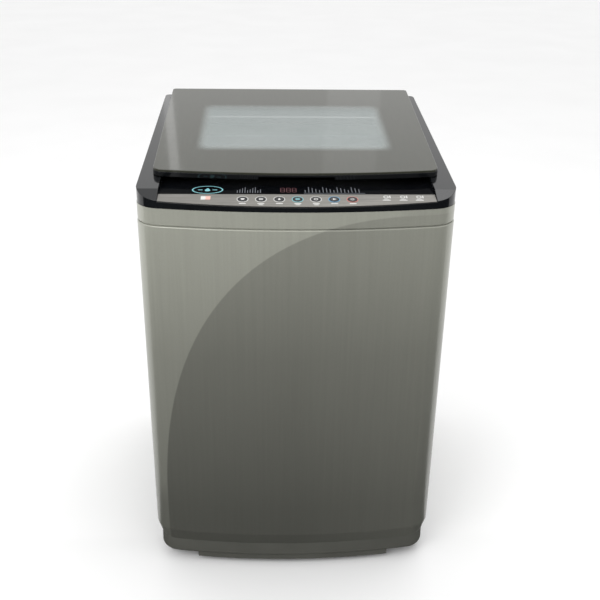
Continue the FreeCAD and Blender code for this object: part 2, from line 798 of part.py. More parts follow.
hood_half = dim("hood_half")
hood_front = dim("hood_front")
hood_top = dim("hood_top")
hood_rear = well_rear - 2
tray_half = dim("tray_half")
tray_rear = dim("tray_rear")
tray_low = dim("tray_low")
tray_top = dim("tray_top")
hood = block(-hood_half, hood_half, hood_front, hood_rear, deck, hood_top)
hood = rounded(hood, 5, hood_top, hood_top)
for sx in (-1, 1):
    span = sorted((sx * (tray_half + 5), sx * (hood_half - wall)))
    hood = hood.cut(block(*span, hood_front + wall, hood_rear - wall, deck - 1, hood_top - wall))
hood = hood.cut(block(-tray_half - 2, tray_half + 2, hood_front - 1, tray_rear + 4,
                      tray_low - 2, tray_top + 4))
hood = hood.cut(block(-tray_half - 5, tray_half + 5, hood_front - 1, hood_front + 5.5,
                      tray_low - 4, hood_top - 1.4))
hood = hood.cut(bar_y(inlet[0], inlet[1] + 14, 7.4, tray_rear, well_rear))
feature("dispenser_housing", hood)

tray_body = box("drawer_block", "-tray_half", "tray_half", "tray_front", "tray_rear",
                "tray_low", "tray_top")
tray_front = box("drawer_face", "-tray_half - 4", "tray_half + 4", "tray_front - 4.5",
                 "tray_front - 0.5", "tray_low - 3", "tray_top + 6")
tray_neck = box("drawer_neck", "-tray_half", "tray_half", "tray_front - 1", "tray_front + 1",
                "tray_low", "tray_top")
tray_powder = box("drawer_powder", "-tray_half + 2", "8", "tray_front + 3", "tray_rear - 2",
                  "tray_low + 2.5", "tray_top + 1")
tray_liquid = box("drawer_softener", "10", "tray_half - 2", "tray_front + 3", "tray_rear - 2",
                  "tray_low + 2.5", "tray_top + 1")
tray_pull = box("drawer_pull", "-22", "22", "tray_front - 6", "tray_front - 2",
                "tray_low - 1", "tray_low + 12")
keep(cut("detergent_drawer", fuse("drawer_body", tray_body, tray_neck, tray_front),
         tray_powder, tray_liquid, tray_pull), "detergent_drawer")

# ---------------------------------------------------------------- water inlet and outlet

valve_block = box("valve_block", "inlet_x - 20", "inlet_x + 20", "well_rear + 7",
                  "body_depth / 2 - 14", "deck_level", "inlet_z + 21")
valve_pipe = rod("valve_spigot", ("inlet_x", "inlet_z"), "inlet_radius",
                 "body_depth / 2 - 14", "body_depth / 2 - 1", "y")
valve_bore = rod("valve_bore", ("inlet_x", "inlet_z"), "inlet_radius - 3",
                 "body_depth / 2 - 13", "body_depth / 2", "y")
valve_stub = rod("valve_outlet", ("inlet_x", "inlet_z + 14"), 7, "well_rear - 5",
                 "well_rear + 9", "y")
valve_stub_bore = rod("valve_outlet_bore", ("inlet_x", "inlet_z + 14"), 4.5, "well_rear - 6",
                      "well_rear + 15", "y")
valve_coil = rod("valve_coil", ("body_depth / 2 - 26", "inlet_z + 4"), 11, "inlet_x + 18",
                 "inlet_x + 48", "x")
keep(cut("inlet_valve", fuse("valve_body", valve_block, valve_pipe, valve_stub, valve_coil),
         valve_bore, valve_stub_bore), "inlet_valve")

drain_pipe = rod("drain_spigot", ("drain_x", "drain_z"), "drain_radius", "dish_face - 30",
                 "body_depth / 2 - 1", "y")
drain_flange = rod("drain_flange", ("drain_x", "drain_z"), 22, "dish_face - 4", "dish_face", "y")
drain_bore = rod("drain_bore", ("drain_x", "drain_z"), "drain_radius - 2.5", "dish_face - 31",
                 "body_depth / 2", "y")
keep(cut("drain_outlet", fuse("drain_body", drain_pipe, drain_flange), drain_bore),
     "drain_outlet")

# ---------------------------------------------------------------- suspension

CORNERS = (("front_left", -1, -1), ("front_right", 1, -1), ("rear_left", -1, 1),
           ("rear_right", 1, 1))
for name, sx, sy in CORNERS:
    at = (f"{sx} * rod_offset", f"{sy} * rod_offset")
    lathe("suspension_rod_" + name,
          [("0", "cup_level - 12"), ("7", "cup_level - 12"), ("7", "cup_level - 6"),
           ("22", "cup_level - 6"), ("22", "cup_level"), ("rod_radius", "cup_level"),
           ("rod_radius", "brace_level"), ("13", "brace_level"), ("13", "brace_level + 5"),
           ("7", "brace_level + 12"), ("0", "brace_level + 12")], at=at)

spring_radius = dim("spring_radius")
spring_wire = dim("spring_wire")
spring_low = dim("cup_level") + spring_wire + 0.2
spring_high = dim("lug_low") - spring_wire - 0.2
for name, sx, sy in CORNERS:
    helix = Part.makeHelix(dim("spring_pitch"), spring_high - spring_low, spring_radius)
    section = Part.Circle(vector(spring_radius, 0, 0), vector(0, 1, 0.1), spring_wire)
    coil = Part.Wire(helix.Edges).makePipeShell([Part.Wire([section.toShape()])], True, True)
    coil.translate(vector(sx * rod_offset, sy * rod_offset, spring_low))
    spring = doc.addObject("Part::Feature", "suspension_spring_" + name)
    spring.Shape = coil
    keep(spring, "suspension_spring_" + name)

# ---------------------------------------------------------------- outer tub

tub = lathe("outer_tub", [("30", "tub_floor"), ("62", "tub_floor"), ("62", "plate_top"),
                          ("74", "plate_top"), ("74", "tub_floor"), ("tub_radius - 8", "tub_floor"),
                          ("tub_radius", "tub_floor + 8"), ("tub_radius", "tub_top"),
                          ("tub_radius - tub_wall", "tub_top"),
                          ("tub_radius - tub_wall", "tub_floor + 9"),
                          ("tub_radius - 9", "tub_floor + tub_wall"),
                          ("30", "tub_floor + tub_wall")])
lug = add_pad(tub, "tub_lug",
              [("150", "190"), ("190", "150"), ("rod_offset + 22", "rod_offset - 18"),
               ("rod_offset + 22", "rod_offset + 22"), ("rod_offset - 18", "rod_offset + 22")],
              "lug_low", "lug_top - lug_low")
around(tub, lug, 4)
lug_hole = drill(tub, "tub_lug", [("rod_offset", "rod_offset", "rod_bore")],
                 "lug_low - 1", "lug_top - lug_low + 2")
around(tub, lug_hole, 4)
sump = drill(tub, "tub_sump", [("150", "90", "18")], "tub_floor - 1", "tub_wall + 2")
tub.Tip = sump

lathe("tub_cover", [("tub_radius - tub_wall + 0.5", "tub_top"), ("tub_radius + 3", "tub_top"),
                    ("tub_radius + 3", "cover_top - 3"), ("tub_radius", "cover_top"),
                    ("cover_lip + 1.5", "cover_top"), ("cover_lip", "cover_top - 1.5"),
                    ("cover_lip", "cover_top - 11"), ("cover_lip + 3", "cover_top - 11"),
                    ("cover_lip + 3", "cover_top - 3"),
                    ("tub_radius - tub_wall + 0.5", "cover_top - 3")])

# ---------------------------------------------------------------- basket and pulsator

lathe("basket_shell", [("basket_radius - 1", "basket_floor"), ("basket_radius", "basket_floor"),
                       ("basket_radius", "basket_top"), ("basket_radius - 1", "basket_top")])
lathe("balance_ring", [("ring_inner", "ring_low + 4"), ("ring_inner + 4", "ring_low"),
                       ("basket_radius - 1.3", "ring_low"),
                       ("basket_radius - 1.3", "basket_top"), ("ring_outer", "basket_top"),
                       ("ring_outer", "ring_top - 5"), ("ring_outer - 5", "ring_top"),
                       ("ring_inner + 7", "ring_top"), ("ring_inner", "ring_top - 7")])
lathe("basket_base", [("spin_shaft_radius", "196"), ("40", "196"), ("46", "208"),
                      ("basket_radius - 6", "208"), ("basket_radius", "basket_floor - 6"),
                      ("basket_radius", "basket_floor"), ("spin_shaft_radius", "basket_floor")])
lathe("spin_shaft", [("wash_shaft_bore", "104"), ("spin_shaft_radius", "104"),
                     ("spin_shaft_radius", "basket_floor + 2"),
                     ("wash_shaft_bore", "basket_floor + 2")])
filter_box = box("filter_block", -32, 32, "basket_radius - 23", "basket_radius - 5", 430, 640)
filter_rail = box("filter_rail", -6, 6, "basket_radius - 6", "basket_radius - 1.1", 450, 630)
filter_room = box("filter_room", -28, 28, "basket_radius - 20", "basket_radius - 8", 434, 624)
filter_mouth = box("filter_mouth", -24, 24, "basket_radius - 24", "basket_radius - 19", 560, 616)
keep(cut("lint_filter", fuse("filter_body", filter_box, filter_rail), filter_room, filter_mouth),
     "lint_filter")

pulsator = lathe("pulsator", [("wash_shaft_radius", "pulsator_low - 3"), ("34", "pulsator_low - 3"),
                              ("pulsator_radius - 5", "pulsator_low"),
                              ("pulsator_radius", "pulsator_low + 4"),
                              ("pulsator_radius - 2", "pulsator_rim + 4"),
                              ("pulsator_radius - 12", "pulsator_rim"),
                              ("60", "pulsator_rim"), ("30", "pulsator_hub"),
                              ("12", "pulsator_hub"), ("12", "pulsator_hub - 8"),
                              ("wash_shaft_radius", "pulsator_hub - 8")])
vane = add_pad(pulsator, "pulsator_vane",
               [("34", "-9"), ("pulsator_radius - 22", "-4"), ("pulsator_radius - 22", "4"),
                ("34", "9")], "pulsator_rim - 2", "14")
around(pulsator, vane, 6)
lathe("pulsator_screw", [("0", "pulsator_hub - 7.5"), ("10.5", "pulsator_hub - 7.5"),
                         ("10.5", "pulsator_hub - 1"), ("8", "pulsator_hub + 2"),
                         ("0", "pulsator_hub + 2")])
lathe("wash_shaft", [("0", "70"), ("wash_shaft_radius - 1", "70"), ("wash_shaft_radius", "71"),
                     ("wash_shaft_radius", "pulsator_hub - 8"), ("0", "pulsator_hub - 8")])

# ---------------------------------------------------------------- drive under the tub

lathe("clutch_housing", [("26", "124"), ("26", "182"), ("29.5", "182"), ("29.5", "plate_low"),
                         ("70", "plate_low"), ("70", "plate_low - 8"), ("45", "148"),
                         ("45", "102"), ("spin_shaft_radius + 2", "102"),
                         ("spin_shaft_radius + 2", "106"), ("26", "106")])
for name, low in (("bearing_lower", 108), ("bearing_upper", 166)):
    lathe(name, [("spin_shaft_bore", low), ("26", low), ("26", low + 14),
                 ("spin_shaft_bore", low + 14)])
lathe("shaft_seal", [("spin_shaft_bore", "183"), ("29", "183"), ("29", "190"),
                     ("17", "194"), ("spin_shaft_bore", "194")])
support = plate("support_plate", [("-90", "-95"), ("90", "-95"), ("90", "motor_y + 68"),
                                  ("-90", "motor_y + 68")], "plate_low", "plate_top - plate_low")
drill(support, "support_plate", [("0", "0", "30"), ("0", "motor_y", "20"), ("-72", "-78", "5"),
                                 ("72", "-78", "5")], "plate_low - 1", "6")

motor_can = rod("motor_can", ("0", "motor_y"), "motor_radius", "motor_low", "plate_low - 6")
motor_ear = box("motor_ears", "-motor_radius - 14", "motor_radius + 14", "motor_y - 14",
                "motor_y + 14", "plate_low - 6", "plate_low")
motor_bore = rod("motor_bore", ("0", "motor_y"), 6.4, "motor_low - 1", "plate_low + 1")
keep(cut("motor", fuse("motor_body", motor_can, motor_ear), motor_bore), "motor")

groove = 4.5


def pulley(name, radius, bore, low, high, at=None):
    inner = f"{radius} - {groove}"
    profile = [(bore, low), (radius, low), (radius, "belt_low - 0.8"),
               (inner, "belt_low - 0.8"), (inner, "belt_top + 0.8"),
               (radius, "belt_top + 0.8"), (radius, high), (bore, high)]
    return lathe(name, profile, at)


clutch = pulley("clutch_pulley", "big_pulley", "wash_shaft_bore", "pulley_low", "pulley_top")
lightening = drill(clutch, "clutch_pulley", [("33", "0", "11")], "pulley_low - 1", "16")
around(clutch, lightening, 6)
motor_pulley = pulley("motor_pulley", "small_pulley", "0", "pulley_low", "pulley_top",
                      at=("0", "motor_y"))
stub = new_sketch(motor_pulley, "rotor_stub", "XY_Plane", "pulley_top - 1")
add_circle(stub, "0", "0", "6")
stub_pad = motor_pulley.newObject("PartDesign::Pad", "rotor_stub_pad")
stub_pad.Profile = stub
stub_pad.setExpression("Length", bound("plate_low - pulley_top - 20"))


def belt_face(big, small, level):
    """Area inside a belt run over two rounds of these radii."""
    gap = dim("motor_y")
    lean = math.asin((big - small) / gap)
    c = math.cos(lean)
    s = math.sin(lean)
    right_big = vector(big * c, big * s, level)
    right_small = vector(small * c, gap + small * s, level)
    left_small = vector(-small * c, gap + small * s, level)
    left_big = vector(-big * c, big * s, level)
    edges = [Part.makeLine(right_big, right_small),
             Part.Arc(right_small, vector(0, gap + small, level), left_small).toShape(),
             Part.makeLine(left_small, left_big),
             Part.Arc(left_big, vector(0, -big, level), right_big).toShape()]
    return Part.Face(Part.Wire(edges))


big = dim("big_pulley")
small = dim("small_pulley")
belt_low = dim("belt_low")
belt_rise = vector(0, 0, dim("belt_top") - belt_low)
belt = belt_face(big + 1, small + 1, belt_low).extrude(belt_rise)
belt = belt.cut(belt_face(big - groove + 0.5, small - groove + 0.5, belt_low).extrude(belt_rise))
feature("drive_belt", belt)

drain_can = rod("drain_valve_can", ("150", "90"), 26, 122, "tub_floor")
drain_arm = rod("drain_valve_arm", ("150", "142"), 14, 90, 150, "y")
drain_room = rod("drain_valve_room", ("150", "90"), 18, 126, "tub_floor + 1")
drain_way = rod("drain_valve_way", ("150", "142"), 11.5, 100, 151, "y")
keep(cut("drain_valve", fuse("drain_valve_body", drain_can, drain_arm), drain_room, drain_way),
     "drain_valve")

# ---------------------------------------------------------------- checks and export

doc.recompute()

for obj in doc.Objects:
    for word in ("Invalid", "Error"):
        if word in obj.State:
            raise RuntimeError(f"{obj.Name}: {obj.State}")

names = [obj.Label for obj in pieces]
if len(set(names)) != len(names):
    raise RuntimeError("two pieces share a name")

for obj in pieces:
    shape = obj.Shape
    if shape.isNull() or not shape.isValid():
        raise RuntimeError(f"{obj.Label}: bad shape")
    if len(shape.Solids) != 1:
        raise RuntimeError(f"{obj.Label}: {len(shape.Solids)} solids")
    shape.exportStep(os.path.join("parts", obj.Label + ".step"))

print(len(pieces), "pieces written")
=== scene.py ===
"""Top load washing machine: finishes, basket, pulsator, springs, console marks, studio."""
import math

import bpy
from mathutils import Matrix, Vector


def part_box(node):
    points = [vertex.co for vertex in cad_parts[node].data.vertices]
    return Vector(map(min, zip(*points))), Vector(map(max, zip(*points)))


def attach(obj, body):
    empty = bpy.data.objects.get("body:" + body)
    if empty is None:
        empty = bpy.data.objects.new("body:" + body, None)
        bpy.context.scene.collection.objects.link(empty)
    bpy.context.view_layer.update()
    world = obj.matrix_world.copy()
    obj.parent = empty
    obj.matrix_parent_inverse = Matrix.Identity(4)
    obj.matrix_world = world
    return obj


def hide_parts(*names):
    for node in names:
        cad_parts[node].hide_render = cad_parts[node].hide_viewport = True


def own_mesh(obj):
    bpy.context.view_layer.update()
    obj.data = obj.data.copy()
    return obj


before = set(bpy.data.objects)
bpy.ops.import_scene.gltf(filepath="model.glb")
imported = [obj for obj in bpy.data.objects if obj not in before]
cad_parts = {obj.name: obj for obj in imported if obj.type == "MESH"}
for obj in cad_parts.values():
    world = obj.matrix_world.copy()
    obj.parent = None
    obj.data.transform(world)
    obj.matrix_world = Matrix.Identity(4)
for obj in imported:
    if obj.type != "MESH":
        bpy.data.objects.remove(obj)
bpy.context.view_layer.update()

# ---------------------------------------------------------------- camera, light, floor


CAMERA_PLACE = (-0.0527, -1.7162, 1.3148)
CAMERA_YAW, CAMERA_PITCH, CAMERA_ROLL = (math.radians(turn) for turn in (2.35, 24.9, 0.89))


def place_camera():
    data = bpy.data.cameras.new("camera")
    data.lens = 51.67
    data.sensor_width = 36
    data.shift_y = -0.02
    camera = bpy.data.objects.new("camera", data)
    bpy.context.collection.objects.link(camera)
    forward = Vector((math.sin(CAMERA_YAW) * math.cos(CAMERA_PITCH),
                      math.cos(CAMERA_YAW) * math.cos(CAMERA_PITCH), -math.sin(CAMERA_PITCH)))
    turn = forward.to_track_quat("-Z", "Y").to_matrix()
    camera.matrix_world = (Matrix.Translation(CAMERA_PLACE)
                           @ (turn @ Matrix.Rotation(CAMERA_ROLL, 3, "Z")).to_4x4())
    bpy.context.scene.camera = camera


def area_light(name, place, aim, size, power, tint=(1, 1, 1)):
    data = bpy.data.lights.new(name, "AREA")
    data.shape = "RECTANGLE"
    data.size, data.size_y = size
    data.energy = power
    data.color = tint
    lamp = bpy.data.objects.new(name, data)
    bpy.context.collection.objects.link(lamp)
    lamp.location = place
    lamp.rotation_euler = (Vector(aim) - Vector(place)).to_track_quat("-Z", "Y").to_euler()
    return lamp


def studio():
    world = bpy.data.worlds.new("studio")
    world.use_nodes = True
    background = world.node_tree.nodes["Background"]
    background.inputs["Color"].default_value = (1.0, 1.0, 1.0, 1)
    background.inputs["Strength"].default_value = 1.0
    bpy.context.scene.world = world
    area_light("key", (-1.6, -2.2, 2.6), (0, 0, 0.5), (1.6, 1.6), 30)
    area_light("top", (0.3, 0.2, 3.0), (0, 0, 0.8), (2.0, 2.0), 22)
    for name, x, width, power in (("left_strip", -0.62, 0.06, 0.32),
                                  ("right_strip", 0.45, 0.34, 0.36)):
        lamp = area_light(name, (x, 3.2, 2.9), (0.1 * x, 0, 0.85), (width, 2.6), power)
        lamp.visible_camera = False
        lamp.visible_diffuse = False
    bpy.context.scene.view_settings.view_transform = "Standard"


def staged_plane(name, size, place, material):
    mesh = bpy.data.meshes.new(name)
    half_x, half_y = size[0] / 2, size[1] / 2
    corners = [(-half_x, -half_y, 0), (half_x, -half_y, 0), (half_x, half_y, 0), (-half_x, half_y, 0)]
    mesh.from_pydata(corners, [], [(0, 1, 2, 3)])
    mesh.materials.append(MATERIALS[material])
    plane = bpy.data.objects.new(name, mesh)
    bpy.context.collection.objects.link(plane)
    plane.location = place
    return plane


def floor():
    """The pale floor, and a dark card seen only in reflections, which keeps glossy fronts black."""
    staged_plane("floor", (30, 30), (0, 0, 0), "floor")
    flag = staged_plane("studio_flag", (9, 11.75), (0, -6.075, 0.003), "flag")
    for ray in ("camera", "diffuse", "shadow", "transmission", "volume_scatter"):
        setattr(flag, "visible_" + ray, False)


# ---------------------------------------------------------------- node materials


class Nodes:
    """Small helper that builds a shader tree and wires sockets by name."""

    def __init__(self, name):
        self.material = bpy.data.materials.new(name)
        self.material.use_nodes = True
        self.tree = self.material.node_tree
        self.shader = self.tree.nodes["Principled BSDF"]
        self.coordinates = self.add("ShaderNodeTexCoord").outputs["Object"]

    def add(self, kind, **settings):
        node = self.tree.nodes.new(kind)
        for key, value in settings.items():
            setattr(node, key, value)
        return node

    def link(self, output, target):
        self.tree.links.new(output, target)

    def put(self, node, values):
        for key, value in values.items():
            if isinstance(value, bpy.types.NodeSocket):
                self.link(value, node.inputs[key])
            else:
                node.inputs[key].default_value = value

    def math(self, operation, *values, clamp=False):
        node = self.add("ShaderNodeMath", operation=operation, use_clamp=clamp)
        self.put(node, dict(enumerate(values)))
        return node.outputs[0]

    def stretched(self, stretch):
        node = self.add("ShaderNodeMapping")
        self.put(node, {"Vector": self.coordinates, "Scale": stretch})
        return node.outputs[0]

    def noise(self, scale, detail=3.0, stretch=(1, 1, 1), rough=0.5):
        node = self.add("ShaderNodeTexNoise")
        self.put(node, {"Vector": self.stretched(stretch), "Scale": scale, "Detail": detail,
                        "Roughness": rough})
        return node.outputs["Fac"]

    def span(self, value, low, high, start=0.3, end=0.7):
        node = self.add("ShaderNodeMapRange")
        self.put(node, {"Value": value, "From Min": start, "From Max": end, "To Min": low,
                        "To Max": high})
        return node.outputs[0]

    def blend(self, factor, first, second):
        node = self.add("ShaderNodeMix", data_type="RGBA")
        self.put(node, {"Factor": factor})
        for index, value in ((6, first), (7, second)):
            if isinstance(value, bpy.types.NodeSocket):
                self.link(value, node.inputs[index])
            else:
                node.inputs[index].default_value = (*value, 1)
        return node.outputs[2]

    def ramp(self, value, *stops):
        """Colours along a value; each stop is (place, colour)."""
        node = self.add("ShaderNodeValToRGB")
        self.link(value, node.inputs[0])
        elements = node.color_ramp.elements
        while len(elements) < len(stops):
            elements.new(0.5)
        for element, (place, colour) in zip(elements, stops):
            element.position = place
            element.color = (*colour, 1)
        return node.outputs[0]

    def scaled(self, colour, factor):
        node = self.add("ShaderNodeVectorMath", operation="SCALE")
        self.put(node, {0: colour, "Scale": factor})
        return node.outputs[0]

    def bump(self, height, strength, distance, edge=0.0):
        """A bump; with an edge, sharp corners are also shaded as rounded to that radius."""
        node = self.add("ShaderNodeBump")
        self.put(node, {"Height": height, "Strength": strength, "Distance": distance})
        if edge:
            soft = self.add("ShaderNodeBevel", samples=4)
            self.put(soft, {"Radius": edge})
            self.link(soft.outputs[0], node.inputs["Normal"])
        return node.outputs[0]

    def axes(self):
        node = self.add("ShaderNodeSeparateXYZ")
        self.link(self.coordinates, node.inputs[0])
        return node.outputs


WINDOW_HALF = 0.196
WINDOW_FRONT = -0.100
WINDOW_REAR = 0.186
PAINT_HUE = (1.0, 1.015, 0.872)
# Painted reflection on the cabinet: lacquer tones that darken towards the bottom.
PAINTED_REFLECTION_TONES = ((0.0, 0.158), (0.2, 0.162), (0.66, 0.245), (0.88, 0.325), (1.0, 0.36))
# Painted reflection arc across the cabinet front: its centre, size, shape and edge softness.
REFLECTION_ARC_X = 0.234
REFLECTION_ARC_Z = 0.132
REFLECTION_ARC_WIDE = 0.494
REFLECTION_ARC_TALL = 0.659
REFLECTION_ARC_POWER = 2.46
REFLECTION_ARC_EDGE = 0.006


def surface(name, dark, light, rough, metallic=0.0, patch=14, grain=900, stretch=(1, 1, 1),
            bump=0.12, depth=0.00006, edge=0.0, **constant):
    """A finish with slow colour variation, fine grain in roughness and a fine bump."""
    nodes = Nodes(name)
    slow = nodes.noise(patch, 4, stretch)
    fine = nodes.noise(grain, 2, stretch)
    tone = nodes.math("ADD", nodes.math("MULTIPLY", slow, 0.6), nodes.math("MULTIPLY", fine, 0.4))
    nodes.put(nodes.shader, {
        "Base Color": nodes.blend(nodes.span(tone, 0, 1, 0.35, 0.65), dark, light),
        "Roughness": nodes.span(fine, *rough),
        "Metallic": metallic,
        "Normal": nodes.bump(fine, bump, depth, edge),
        **constant,
    })
    return nodes.material


def paint(name):
    """Metallic lacquer; painted reflection darkens it downwards and in an arc across the front."""
    nodes = Nodes(name)
    x, y, z = nodes.axes()
    low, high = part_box("cabinet_shell")
    # Painted reflection: the lacquer darkens towards the bottom.
    height = nodes.span(z, 0, 1, 0.0, high.z)
    ground = nodes.ramp(height, *[(stop, tuple(tone * part for part in PAINT_HUE))
                                  for stop, tone in PAINTED_REFLECTION_TONES])
    # Painted reflection: a darker arc across the front face, standing in for the reflected dark
    # floor.
    across = nodes.span(x, 1, 0, REFLECTION_ARC_X - REFLECTION_ARC_WIDE, REFLECTION_ARC_X)
    up = nodes.span(z, 0, 1, REFLECTION_ARC_Z, REFLECTION_ARC_Z + REFLECTION_ARC_TALL)
    reach = nodes.math("ADD", nodes.math("POWER", across, REFLECTION_ARC_POWER),
                       nodes.math("POWER", up, REFLECTION_ARC_POWER))
    front = smooth_step(nodes, y, low.y + 0.062, low.y + 0.026)
    painted_arc_mask = nodes.math("MULTIPLY", smooth_step(nodes, reach, 1 + REFLECTION_ARC_EDGE, 1 - REFLECTION_ARC_EDGE), front)
    # How deep the painted reflection arc is: darkest low down, weaker to the right.
    depth = nodes.span(height, 0.45, 0.28, 0.15, 0.95)
    depth = nodes.math("MULTIPLY", depth, nodes.span(x, 1.0, 0.6, 0.0, high.x))
    dim = nodes.math("SUBTRACT", 1.0, nodes.math("MULTIPLY", painted_arc_mask, depth))
    flakes = nodes.add("ShaderNodeTexVoronoi")
    nodes.put(flakes, {"Vector": nodes.coordinates, "Scale": 1800})
    flake = nodes.span(flakes.outputs["Color"], 0.95, 1.05, 0.2, 0.9)
    streaks = nodes.span(nodes.noise(170, 3, (1, 1, 0.02)), 0.97, 1.03)
    tone = nodes.math("MULTIPLY", nodes.math("MULTIPLY", flake, streaks), dim)
    peel = nodes.noise(260, 2)
    nodes.put(nodes.shader, {
        "Base Color": nodes.scaled(ground, tone),
        "Roughness": nodes.span(flake, 0.32, 0.38, 0.95, 1.05),
        "Metallic": 0.3,
        "Normal": nodes.bump(peel, 0.05, 0.00008),
        "Coat Weight": 0.3,
        "Coat Roughness": 0.1,
    })
    return nodes.material


def brushed(name, dark, light, along="x", rough=(0.22, 0.4)):
    """Metal brushed along one axis: streaks much longer along it than across."""
    stretch = {"x": (0.03, 1, 1), "y": (1, 0.03, 1), "z": (1, 1, 0.03)}[along]
    return surface(name, dark, light, rough, metallic=1.0, patch=420, grain=2200, stretch=stretch,
                   bump=0.2, depth=0.00005)


def smooth_step(nodes, value, start, end):
    node = nodes.add("ShaderNodeMapRange", interpolation_type="SMOOTHSTEP")
    nodes.put(node, {"Value": value, "From Min": start, "From Max": end})
    return node.outputs[0]


def lid_glass(name):
    """Glass printed dark round a clear window; the print fades out towards the window."""
    nodes = Nodes(name)
    x, y, _ = nodes.axes()
    side_fade, end_fade = 0.030, 0.045
    side = smooth_step(nodes, nodes.math("ABSOLUTE", x), WINDOW_HALF, WINDOW_HALF - side_fade)
    front = smooth_step(nodes, y, WINDOW_FRONT, WINDOW_FRONT + end_fade)
    rear = smooth_step(nodes, y, WINDOW_REAR, WINDOW_REAR - end_fade)
    window = nodes.math("MULTIPLY", nodes.math("MULTIPLY", side, front), rear)
    smear = nodes.noise(9, 3)
    clear = nodes.math("MULTIPLY", window, nodes.span(smear, 0.93, 1.0))
    haze = nodes.blend(nodes.span(smear, 0, 1), (0.41, 0.46, 0.45), (0.48, 0.53, 0.52))
    border = nodes.blend(nodes.span(nodes.noise(240, 3, (1, 0.05, 1)), 0, 1),
                         (0.030, 0.031, 0.021), (0.038, 0.039, 0.027))
    nodes.put(nodes.shader, {
        "Base Color": nodes.blend(window, border, haze),
        "Roughness": nodes.span(nodes.noise(60, 3), 0.05, 0.09),
        "Alpha": nodes.span(clear, 1.0, 0.36, 0, 1),
        "Coat Weight": 0.1,
        "Coat Roughness": 0.04,
    })
    return nodes.material


def glow(name, dark, light, strength):
    """A printed mark or display segment in its own colour, plus a faint painted glow; neither gives
    light.
    """
    nodes = Nodes(name)
    slow = nodes.noise(800, 2)
    colour = nodes.blend(nodes.span(slow, 0, 1), dark, light)
    nodes.put(nodes.shader, {"Base Color": colour, "Emission Color": colour,
                             "Emission Strength": strength, "Roughness": 0.5})
    return nodes.material


MATERIALS = {
    "floor": surface("floor", (0.90, 0.90, 0.90), (0.93, 0.93, 0.93), (0.6, 0.7), patch=2, bump=0),
    "flag": surface("studio_flag", (0.004, 0.004, 0.004), (0.006, 0.006, 0.006), (0.9, 1.0), bump=0),
    # The cabinet paint carries painted reflection: darker downwards and in an arc across the front.
    "paint": paint("cabinet_paint"),
    "base": surface("base_plastic", (0.066, 0.067, 0.057), (0.081, 0.082, 0.070), (0.38, 0.5),
                    bump=0.25),
    "black": surface("gloss_black", (0.0035, 0.004, 0.005), (0.006, 0.007, 0.008), (0.08, 0.13),
                     bump=0.02, edge=0.0014, **{"Coat Weight": 0.12, "Specular IOR Level": 0.42}),
    "display": surface("display_black", (0.002, 0.0022, 0.003), (0.003, 0.0035, 0.0045),
                       (0.04, 0.07), bump=0.01),
    "strip": brushed("brushed_strip", (0.20, 0.195, 0.18), (0.29, 0.28, 0.26), "x", (0.3, 0.45)),
    "button": surface("button_black", (0.012, 0.012, 0.014), (0.02, 0.02, 0.022), (0.12, 0.2),
                      bump=0.05),
    "rubber": surface("rubber", (0.012, 0.012, 0.012), (0.025, 0.025, 0.025), (0.7, 0.85),
                      bump=0.5),
    "silicone": surface("silicone", (0.42, 0.42, 0.4), (0.5, 0.5, 0.47), (0.55, 0.7), bump=0.3),
    "board": surface("board", (0.01, 0.09, 0.035), (0.02, 0.13, 0.05), (0.3, 0.45), patch=160),
    "grey_plastic": surface("grey_plastic", (0.42, 0.46, 0.48), (0.5, 0.54, 0.56), (0.3, 0.42),
                            bump=0.2),
    "white_plastic": surface("white_plastic", (0.62, 0.63, 0.62), (0.7, 0.71, 0.7), (0.35, 0.5),
                             bump=0.3),
    # Painted shade: the pale dispenser hood gets a much darker plastic, damping the light falling on
    # it through the lid.
    "shaded_hood_plastic": surface("shaded_hood_plastic", (0.11, 0.118, 0.116), (0.14, 0.15, 0.147), (0.3, 0.42),
                            bump=0.25),
    "dark_plastic": surface("dark_plastic", (0.03, 0.03, 0.032), (0.05, 0.05, 0.053), (0.4, 0.55),
                            bump=0.3),
    "blue_plastic": surface("blue_plastic", (0.3, 0.42, 0.5), (0.38, 0.5, 0.58), (0.3, 0.4),
                            bump=0.2),
    "tub": surface("tub_plastic", (0.5, 0.51, 0.5), (0.6, 0.61, 0.6), (0.4, 0.55), bump=0.35),
    "steel": brushed("basket_steel", (0.5, 0.51, 0.52), (0.66, 0.67, 0.68), "z", (0.2, 0.32)),
    "zinc": surface("zinc", (0.42, 0.43, 0.43), (0.6, 0.61, 0.6), (0.3, 0.5), metallic=1.0,
                    patch=60, bump=0.15),
    "spring": surface("spring_steel", (0.12, 0.12, 0.125), (0.2, 0.2, 0.205), (0.3, 0.45),
                      metallic=1.0, patch=90),
    "cast": surface("cast_aluminium", (0.4, 0.4, 0.4), (0.55, 0.55, 0.55), (0.45, 0.65),
                    metallic=0.9, patch=120, grain=500, bump=0.5, depth=0.0002),
    "motor": surface("motor_paint", (0.03, 0.03, 0.033), (0.05, 0.05, 0.055), (0.35, 0.5),
                     bump=0.2),
    "ground": brushed("ground_steel", (0.5, 0.5, 0.5), (0.66, 0.66, 0.66), "z", (0.15, 0.28)),
    "glass": lid_glass("lid_glass"),
    # Printed marks and display digits: their own colours, each with a faint painted glow.
    "white_print_glow": glow("white_print_glow", (0.5, 0.5, 0.49), (0.62, 0.62, 0.6), 0.12),
    "grey_print_glow": glow("grey_print_glow", (0.11, 0.12, 0.14), (0.16, 0.17, 0.19), 0.05),
    "teal_print_glow": glow("teal_print_glow", (0.16, 0.42, 0.46), (0.22, 0.5, 0.54), 0.15),
    "blue_print_glow": glow("blue_print_glow", (0.08, 0.25, 0.42), (0.12, 0.32, 0.5), 0.15),
    "red_print_glow": glow("red_print_glow", (0.45, 0.14, 0.12), (0.55, 0.2, 0.17), 0.12),
    "pink_print_glow": glow("pink_print_glow", (0.6, 0.33, 0.28), (0.7, 0.42, 0.36), 0.1),
    "digit": glow("digit", (0.09, 0.035, 0.04), (0.13, 0.05, 0.055), 0.1),
}

